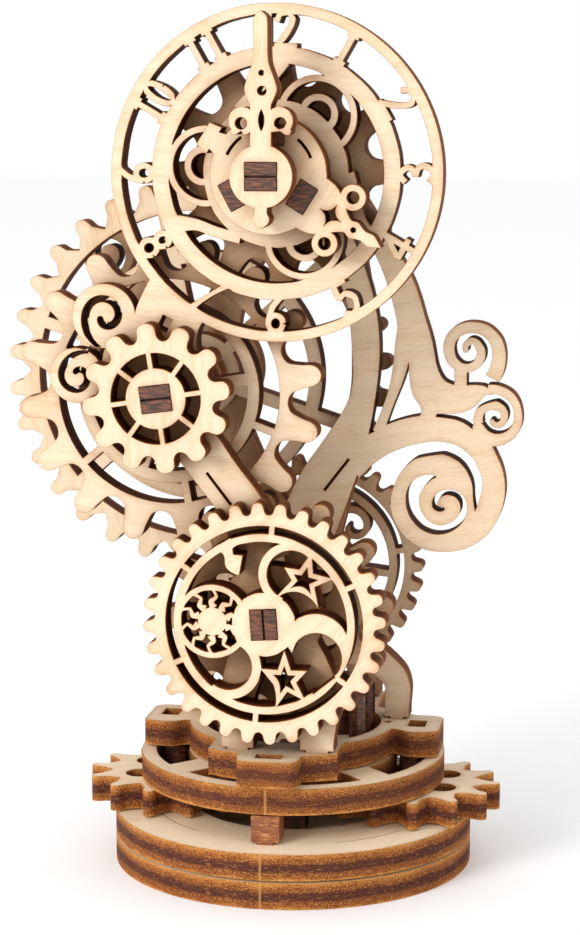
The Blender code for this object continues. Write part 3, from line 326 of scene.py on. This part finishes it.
def sheet_place(tree, sheet, low, seed):
    """Position on a sheet, in mm: as it stands, laid flat, turned with the grain, and the depth.

    The depth starts at low, the lowest corner of the piece's box.
    """
    place = vector_calc(tree, "MULTIPLY", coordinate(tree, "Object"), IN_MM)
    x, y, z = split(tree, place)
    if sheet.upright:
        along, across, through, start = x, z, y, low.y
    else:
        along, across, through, start = x, y, z, low.z
    depth = calc(tree, "SUBTRACT", through, start / MM)
    flat = join(tree, along, across, depth)
    turned = tree.nodes.new("ShaderNodeVectorRotate")
    turned.rotation_type = "Z_AXIS"
    feed(tree, flat, turned.inputs["Vector"])
    turned.inputs["Angle"].default_value = -math.radians(sheet.grain)
    shift = tuple(seed * step for step in SHEET_SHIFT)
    grain = vector_calc(tree, "ADD", turned.outputs[0], shift)
    return place, flat, grain, depth


def veneer(tree, grain, sheet):
    """Birch face: fine fibres, soft bands and scattered short pores, leaning to tan partly for painted
    shade and to ivory for painted light; also returns the fibres.
    """
    fibres = noise(tree, grain, FIBRES)
    bands = noise(tree, grain, BANDS)
    clouds = noise(tree, grain, CLOUDS)
    pores = noise(tree, grain, PORES)
    # tan: the wood's own tone, and painted shade on the pieces set back in shadow
    light = mix(tree, sheet.tan_and_shade, CREAM, TAN)
    dark = mix(tree, sheet.tan_and_shade, STRAW, DARK_TAN)
    tone = calc(tree, "ADD", calc(tree, "MULTIPLY", fibres, FIBRE_SHARE),
                calc(tree, "MULTIPLY", bands, 1 - FIBRE_SHARE))
    colour = mix(tree, between(tree, tone, 0.42, 0.68, to_high=0.75), light, dark)
    # painted light: the veneer turned towards ivory
    colour = mix(tree, sheet.painted_light, colour, IVORY)
    colour = mix(tree, between(tree, clouds, 0.5, 0.75, to_high=0.22), colour, HONEY)
    colour = mix(tree, between(tree, pores, 0.66, 0.74, to_high=0.35), colour, RUST)
    return colour, fibres


def rim_scorch(tree, flat):
    """Share of scorch on a face: patches along its sawn edges, 0 away from them."""
    near_edge = calc(tree, "SUBTRACT", 1.0, openness(tree, SCORCH_REACH, inward=True))
    patches = noise(tree, flat, RIM_PATCHES)
    scorch = calc(tree, "MULTIPLY", near_edge, between(tree, patches, 0.45, 0.70, to_low=0.18))
    return calc(tree, "MULTIPLY", scorch, SCORCH_SHARE, clamp=True)


def ply_depth(tree, flat, depth, streaks):
    """Depth as a share of the thickness, among plies that wander and fray a little."""
    waves = noise(tree, flat, PLY_WAVES)
    wander = calc(tree, "MULTIPLY_ADD", waves, PLY_WANDER, -PLY_WANDER / 2)
    fray = calc(tree, "MULTIPLY_ADD", streaks, PLY_FRAY, -PLY_FRAY / 2)
    even = calc(tree, "DIVIDE", depth, THICKNESS)
    return calc(tree, "PINGPONG", calc(tree, "ADD", even, calc(tree, "ADD", wander, fray)), 1.0)


def charred(tree, plies, flat, through, speckle, char):
    """The plies with burnt patches; char is about the share of them that is burnt."""
    burn = noise(tree, flat, BURNT_PATCHES)
    least, most = char * (1 - BURN_SPREAD), min(1.0, char * (1 + BURN_SPREAD))
    patches = between(tree, burn, 0.3, 0.7, least, most)
    share = calc(tree, "MULTIPLY", patches, between(tree, through, 0.03, 0.13))
    return mix(tree, share, plies, mix(tree, between(tree, speckle, 0.4, 0.7), RUST, CHAR))


def sawn_edge(tree, flat, depth, sheet):
    """Plies on a sawn edge, scorched and with a nearly black core; also returns the speckle."""
    speckle = noise(tree, flat, EDGE_SPECKLE)
    streaks = noise(tree, flat, EDGE_STREAKS)
    through = ply_depth(tree, flat, depth, streaks)
    plies = ramp(tree, through, PLY_COLOURS)
    plies = mix(tree, between(tree, speckle, 0.50, 0.66, to_high=0.8), plies, CHAR)
    from_core = calc(tree, "ABSOLUTE", calc(tree, "SUBTRACT", through, CORE_MIDDLE))
    flecks = calc(tree, "MULTIPLY", between(tree, speckle, 0.34, 0.45, 0.7, 0.0),
                  between(tree, from_core, 0.13, 0.22, to_low=0.12))
    plies = mix(tree, flecks, plies, FLECK)
    plies = mix(tree, between(tree, streaks, 0.56, 0.72, to_high=0.55), plies, GOLD)
    return charred(tree, plies, flat, through, speckle, sheet.char), speckle


def face_share(tree, sheet):
    """1 on the sheet's two faces and 0 on its sawn edges."""
    normal = split(tree, coordinate(tree, "Normal"))
    facing = calc(tree, "ABSOLUTE", normal["Y" if sheet.upright else "Z"])
    return between(tree, facing, FACE_FROM, FACE_FULL)


def seam_share(tree, place):
    """More than 0 on the narrow mark where the laser started on a round sheet's front."""
    at = split(tree, place)
    middle = calc(tree, "MULTIPLY", at["Y"], 1 / math.tan(SEAM_ANGLE))
    offset = calc(tree, "ABSOLUTE", calc(tree, "SUBTRACT", at["X"], middle))
    mark = between(tree, offset, SEAM_WIDTH * 0.4, SEAM_WIDTH, SEAM_SHARE, 0.0)
    return calc(tree, "MULTIPLY", mark, calc(tree, "LESS_THAN", at["Y"], 0.0))


def engraved_share(tree, place):
    """More than 0 on the thin arcs engraved in the base's top."""
    at = split(tree, place)
    distance = vector_calc(tree, "LENGTH", join(tree, at["X"], at["Y"], 0.0))
    angle = calc(tree, "ARCTAN2", at["Y"], at["X"])
    total = 0.0
    for radius, start, end in ARC_SPANS:
        offset = calc(tree, "ABSOLUTE", calc(tree, "SUBTRACT", distance, radius))
        ring = between(tree, offset, ARC_WIDTH * 0.5, ARC_WIDTH, ARC_SHARE, 0.0)
        after = calc(tree, "GREATER_THAN", angle, math.radians(start))
        before = calc(tree, "LESS_THAN", angle, math.radians(end))
        total = calc(tree, "MULTIPLY_ADD", ring, calc(tree, "MULTIPLY", after, before), total)
    return total


def with_painted_shade(tree, colour, most):
    """Painted shade: the colour turned to a warm brown, at most by a share, where other pieces crowd in
    on it.
    """
    shade_share = between(tree, openness(tree, PAINTED_SHADE_REACH), 0.2, 0.82, most, 0.0)
    return mix(tree, shade_share, colour, mix(tree, 1.0, colour, PAINTED_SHADE_TINT, "MULTIPLY"))


def plywood(name, sheet, low, seed):
    """Birch plywood: veneer on the faces, scorched along their rims, and plies on the edges, with
    painted shade where other pieces are near.
    """
    material, tree, shader = new_surface(name)
    place, flat, grain, depth = sheet_place(tree, sheet, low, seed)
    face, fibres = veneer(tree, grain, sheet)
    face = mix(tree, rim_scorch(tree, flat), face, AMBER)
    edge, speckle = sawn_edge(tree, flat, depth, sheet)
    if sheet.seam:
        edge = mix(tree, seam_share(tree, place), edge, HONEY)
    if sheet.lines:
        face = mix(tree, engraved_share(tree, place), face, RUST)
    on_face = face_share(tree, sheet)
    colour = mix(tree, on_face, edge, face)
    # painted shade where other pieces are near, strongest on the upright sheets
    colour = with_painted_shade(tree, colour, PAINTED_SHADE_UPRIGHT if sheet.upright else PAINTED_SHADE_FLAT)
    roughness = between(tree, on_face, 0.0, 1.0, EDGE_ROUGHNESS, FACE_ROUGHNESS)
    feed(tree, colour, shader.inputs["Base Color"])
    feed(tree, roughness, shader.inputs["Roughness"])
    add_bump(tree, shader, mix(tree, on_face, speckle, fibres), strength=0.25, depth=0.08)
    shader.inputs["Specular IOR Level"].default_value = PLYWOOD_SPECULAR
    return material


def burnt_wood(name, seed, glow):
    """A strip scorched all over: streaked red-brown with a slight shine, lighter with more glow."""
    material, tree, shader = new_surface(name)
    shift = tuple(seed * step for step in STRIP_SHIFT)
    place = vector_calc(tree, "MULTIPLY_ADD", coordinate(tree, "Object"), IN_MM, shift)
    streaks = noise(tree, place, STRIP_STREAKS)
    speckle = noise(tree, place, STRIP_SPECKLE)
    colour = ramp(tree, calc(tree, "ADD", streaks, glow), STREAK_COLOURS)
    colour = mix(tree, between(tree, speckle, 0.5, 0.68, to_high=0.6), colour, CHAR)
    feed(tree, colour, shader.inputs["Base Color"])
    roughness = between(tree, streaks, 0.3, 0.7, to_low=0.36, to_high=0.55)
    feed(tree, roughness, shader.inputs["Roughness"])
    add_bump(tree, shader, streaks, strength=0.35, depth=0.1)
    return material


# ---------------------------------------------------------------- outlines of the sheets

def on_sheet(place, upright):
    """A place in space as a point of a sheet's plane."""
    return Vector((place.x, place.z if upright else place.y))


def rim_steps(front):
    """For each point on the rim of some faces, the points that follow it, the faces on their left."""
    onward = {}
    for face in sorted(front, key=lambda face: face.index):
        for corner in face.loops:
            if any(other not in front for other in corner.edge.link_faces):
                onward.setdefault(corner.vert.index, []).append(corner.link_loop_next.vert.index)
    return onward


def chained(onward):
    """Closed loops that go from each point to one that follows it, until no step is left."""
    loops = []
    while onward:
        vertex = next(iter(onward))
        loop = []
        while vertex in onward:
            loop.append(vertex)
            following = onward[vertex].pop()
            if not onward[vertex]:
                del onward[vertex]
            vertex = following
        loops.append(loop)
    return loops


def sheet_loops(item, upright):
    """Outlines of a sheet's front as loops of 2-D points in mm, with the wood on their left."""
    outward = Vector((0.0, -1.0, 0.0)) if upright else Vector((0.0, 0.0, 1.0))
    shape = bmesh.new()
    shape.from_mesh(item.data)
    bmesh.ops.remove_doubles(shape, verts=shape.verts, dist=WELD * MM)
    shape.verts.index_update()
    shape.faces.index_update()
    front = {face for face in shape.faces if face.normal.dot(outward) > SQUARE_ON}
    loops = chained(rim_steps(front))
    flat = [on_sheet(vert.co / MM, upright) for vert in shape.verts]
    shape.free()
    return [[flat[vertex] for vertex in loop] for loop in loops]


def turn_between(before, after):
    """Angle from one direction to another, more than 0 to the left."""
    cross = before.x * after.y - before.y * after.x
    return math.atan2(cross, before.dot(after))


def signed_area(loop):
    """Area inside a loop, less than 0 if it runs clockwise, as a hole's does."""
    return sum(a.x * b.y - b.x * a.y for a, b in zip(loop, loop[1:] + loop[:1])) / 2


def is_tight(point, spots):
    """Whether a point is close to a spot where refined loops have crossed."""
    return any((point - spot).length < TIGHT_REACH for spot in spots)


def mirrored(direction, along):
    """The direction at a curve's other end, if the curve is the same from both ends."""
    return 2 * along.dot(direction) * along - direction


def curve_ends(along, first, last):
    """Directions at a curve's two ends; an end at a corner, where it is None, follows the other."""
    if first is None and last is None:
        return along, along
    if first is None:
        return mirrored(last, along), last
    if last is None:
        return first, mirrored(first, along)
    return first, last


def curve_point(t, start, end, leave, arrive, reach):
    """Point at a share t of a cubic curve that leaves and arrives in given directions."""
    return ((2 * t ** 3 - 3 * t ** 2 + 1) * start + (t ** 3 - 2 * t ** 2 + t) * reach * leave
            + (3 * t ** 2 - 2 * t ** 3) * end + (t ** 3 - t ** 2) * reach * arrive)


def curve_steps(reach, bend):
    """How many straight edges follow a curve of this length and bend closely enough."""
    return max(1, math.ceil(bend / LARGEST_TURN), math.ceil(math.sqrt(reach * bend / (8 * SAG))))


def smooth_loop(loop, spots):
    """A finer loop that runs in a smooth curve through the points between two corners."""
    count = len(loop)
    edges = [loop[(i + 1) % count] - loop[i] for i in range(count)]
    turns = [abs(turn_between(edges[i - 1], edges[i])) for i in range(count)]
    is_round = count > 4 and max(turns) - min(turns) < EVEN_TURN
    limit = ROUND_HOLE_TURN if is_round else CORNER_TURN
    bends = [turn if turn < limit else 0.0 for turn in turns]
    tangents = [(edges[i - 1] + edges[i]).normalized() if turn < limit else None
                for i, turn in enumerate(turns)]
    finer = []
    for i, edge in enumerate(edges):
        after = (i + 1) % count
        start, end = loop[i], loop[after]
        leave, arrive = curve_ends(edge.normalized(), tangents[i], tangents[after])
        steps = curve_steps(edge.length, max(bends[i], bends[after]))
        if is_tight(start, spots) or is_tight(end, spots):
            steps = 1
        for step in range(steps):
            finer.append(curve_point(step / steps, start, end, leave, arrive, edge.length))
    return finer


def shifted(loop, distances):
    """The loop moved into the wood on its left, by the distance given for each point."""
    count = len(loop)
    normals = []
    for i in range(count):
        edge = (loop[(i + 1) % count] - loop[i]).normalized()
        normals.append(Vector((-edge.y, edge.x)))
    moved = []
    for i in range(count):
        middle = (normals[i - 1] + normals[i]).normalized()
        squeeze = max(1 / LONGEST_MITRE, middle.dot(normals[i]))
        moved.append(loop[i] + middle * distances[i] / squeeze)
    return moved


def inset(loop, spots):
    """The loop of a sheet's face, inside the rounding of its edge."""
    return shifted(loop, [0.0 if is_tight(point, spots) else EDGE_ROUND for point in loop])


def snug(loop):
    """A rectangular mortise drawn tight around the piece it holds; other loops stay."""
    sides = [(after - point).length for point, after in zip(loop, loop[1:] + loop[:1])]
    is_mortise = len(loop) == 4 and signed_area(loop) < 0 and min(sides) > SMALLEST_MORTISE
    return shifted(loop, [-SNUG] * 4) if is_mortise else loop


def kept_within(point, low, high):
    """The point moved no further than the corners of a rectangle."""
    return Vector((min(max(point.x, low.x), high.x), min(max(point.y, low.y), high.y)))


def face_triangles(loops):
    """Triangles of point numbers that fill the wood between the loops, and where loops cross."""
    points, rings = [], []
    for loop in loops:
        ring = list(range(len(points), len(points) + len(loop)))
        rings.append(ring if signed_area(loop) > 0 else ring[::-1])
        points += loop
    verts, _, faces, sources, _, owners = delaunay_2d_cdt(points, [], rings, FILL_ALL, FILL_SLACK, True)
    crossings = [vert for vert, source in zip(verts, sources) if len(source) != 1]
    if crossings:
        return [], crossings
    numbers = [source[0] for source in sources]
    wood = [face for face, inside in zip(faces, owners) if len(inside) % 2 == 1]
    return [[numbers[i] for i in face] for face in wood], []


def fitted_outlines(name, sheet):
    """A sheet's loops at its middle and at its faces, and the triangles that fill a face."""
    low, high = [on_sheet(corner / MM, sheet.upright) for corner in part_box(name)]
    plain = [snug(loop) for loop in sheet_loops(frame["nodes"][name], sheet.upright)]
    spots = []
    for _ in range(MOST_ATTEMPTS):
        outer = [[kept_within(point, low, high) for point in smooth_loop(loop, spots)]
                 for loop in plain]
        inner = [inset(loop, spots) for loop in outer]
        triangles, crossings = face_triangles(inner)
        if triangles:
            break
        spots += crossings
    return outer, inner, triangles


# ---------------------------------------------------------------- refined sheets

def layer_faces(triangles, loops, layers):
    """Faces that close a sheet whose points are numbered layer by layer, and loop by loop in each."""
    count = sum(len(loop) for loop in loops)
    last = (layers - 1) * count
    faces = [tuple(face) for face in triangles]
    faces += [tuple(last + i for i in reversed(face)) for face in triangles]
    first = 0
    for loop in loops:
        for i in range(len(loop)):
            here = first + i
            onward = first + (i + 1) % len(loop)
            for base in range(0, last, count):
                faces.append((base + onward, base + here, base + count + here, base + count + onward))
        first += len(loop)
    return faces


def refined_sheet(name, sheet):
    """A sheet with the node's outline in smooth curves and its edges rounded by a hair."""
    outer, inner, triangles = fitted_outlines(name, sheet)
    low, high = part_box(name)
    front, back = (low.y, high.y) if sheet.upright else (high.z, low.z)
    inward = EDGE_ROUND * MM if back > front else -EDGE_ROUND * MM
    layers = [(inner, front), (outer, front + inward), (outer, back - inward), (inner, back)]
    verts = []
    for loops, depth in layers:
        for x, y in (point * MM for loop in loops for point in loop):
            verts.append((x, depth, y) if sheet.upright else (x, y, depth))
    mesh = bpy.data.meshes.new(f"sheet_{name}")
    mesh.from_pydata(verts, [], layer_faces(triangles, outer, len(layers)))
    mesh.shade_smooth()
    mesh.set_sharp_from_angle(angle=SHARP_EDGE)
    piece = bpy.data.objects.new(f"sheet_{name}", mesh)
    bpy.context.scene.collection.objects.link(piece)
    return piece


def dress_nodes():
    """Refined sheets for the plywood pieces and a better material on every other node."""
    body_of = {node: body for body, nodes in frame["record"]["behaviour"]["bodies"].items()
               for node in nodes}
    for seed, (name, item) in enumerate(sorted(frame["nodes"].items())):
        if name in SHEETS:
            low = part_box(name)[0]
            piece = refined_sheet(name, SHEETS[name])
            piece.data.materials.append(plywood(f"plywood_{name}", SHEETS[name], low, seed))
            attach(piece, body_of[name])
            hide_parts(name)
        else:
            glow = POST_GLOW if name.startswith("base_post") else STRIP_GLOW
            item.data.materials.clear()
            item.data.materials.append(burnt_wood(f"burnt_{name}", seed, glow))


# ---------------------------------------------------------------- studio

def build_floor():
    """A wide sheet of white paper."""
    reach = FLOOR_REACH
    corners = [(-reach, -reach, 0.0), (reach, -reach, 0.0), (reach, reach, 0.0), (-reach, reach, 0.0)]
    mesh = bpy.data.meshes.new("floor")
    mesh.from_pydata(corners, [], [(0, 1, 2, 3)])
    floor = bpy.data.objects.new("floor", mesh)
    bpy.context.scene.collection.objects.link(floor)
    floor.location.z = -FLOOR_DROP
    material, _, shader = new_surface("floor_paper")
    shader.inputs["Base Color"].default_value = PAPER
    shader.inputs["Roughness"].default_value = PAPER_ROUGHNESS
    mesh.materials.append(material)


def build_key_light():
    """A softbox in front of the model, to its left."""
    data = bpy.data.lights.new("key", "AREA")
    data.shape = "SQUARE"
    data.size = KEY_SIDE
    data.energy = KEY_POWER
    data.color = KEY_TINT
    light = bpy.data.objects.new("key", data)
    light.location = KEY_PLACE
    light.rotation_euler = (KEY_TARGET - KEY_PLACE).to_track_quat("-Z", "Y").to_euler()
    bpy.context.scene.collection.objects.link(light)


def build_surroundings():
    """An even white glow from all sides."""
    world = bpy.data.worlds.new("studio")
    world.use_nodes = True
    background = world.node_tree.nodes["Background"]
    background.inputs["Color"].default_value = WHITE
    background.inputs["Strength"].default_value = GLOW_STRENGTH
    bpy.context.scene.world = world


def build_camera():
    """The viewing angle: a little from the right and from above, with a long lens."""
    data = bpy.data.cameras.new("camera")
    data.sensor_width = CAMERA_SENSOR
    data.lens = CAMERA_LENS
    camera = bpy.data.objects.new("camera", data)
    camera.location = CAMERA_PLACE
    camera.rotation_euler = (math.radians(90.0) - CAMERA_DROP, 0.0, CAMERA_TURN)
    bpy.context.scene.collection.objects.link(camera)
    bpy.context.scene.camera = camera


build_camera()
build_key_light()
build_surroundings()
build_floor()
dress_nodes()
bpy.context.scene.view_settings.view_transform = "Standard"
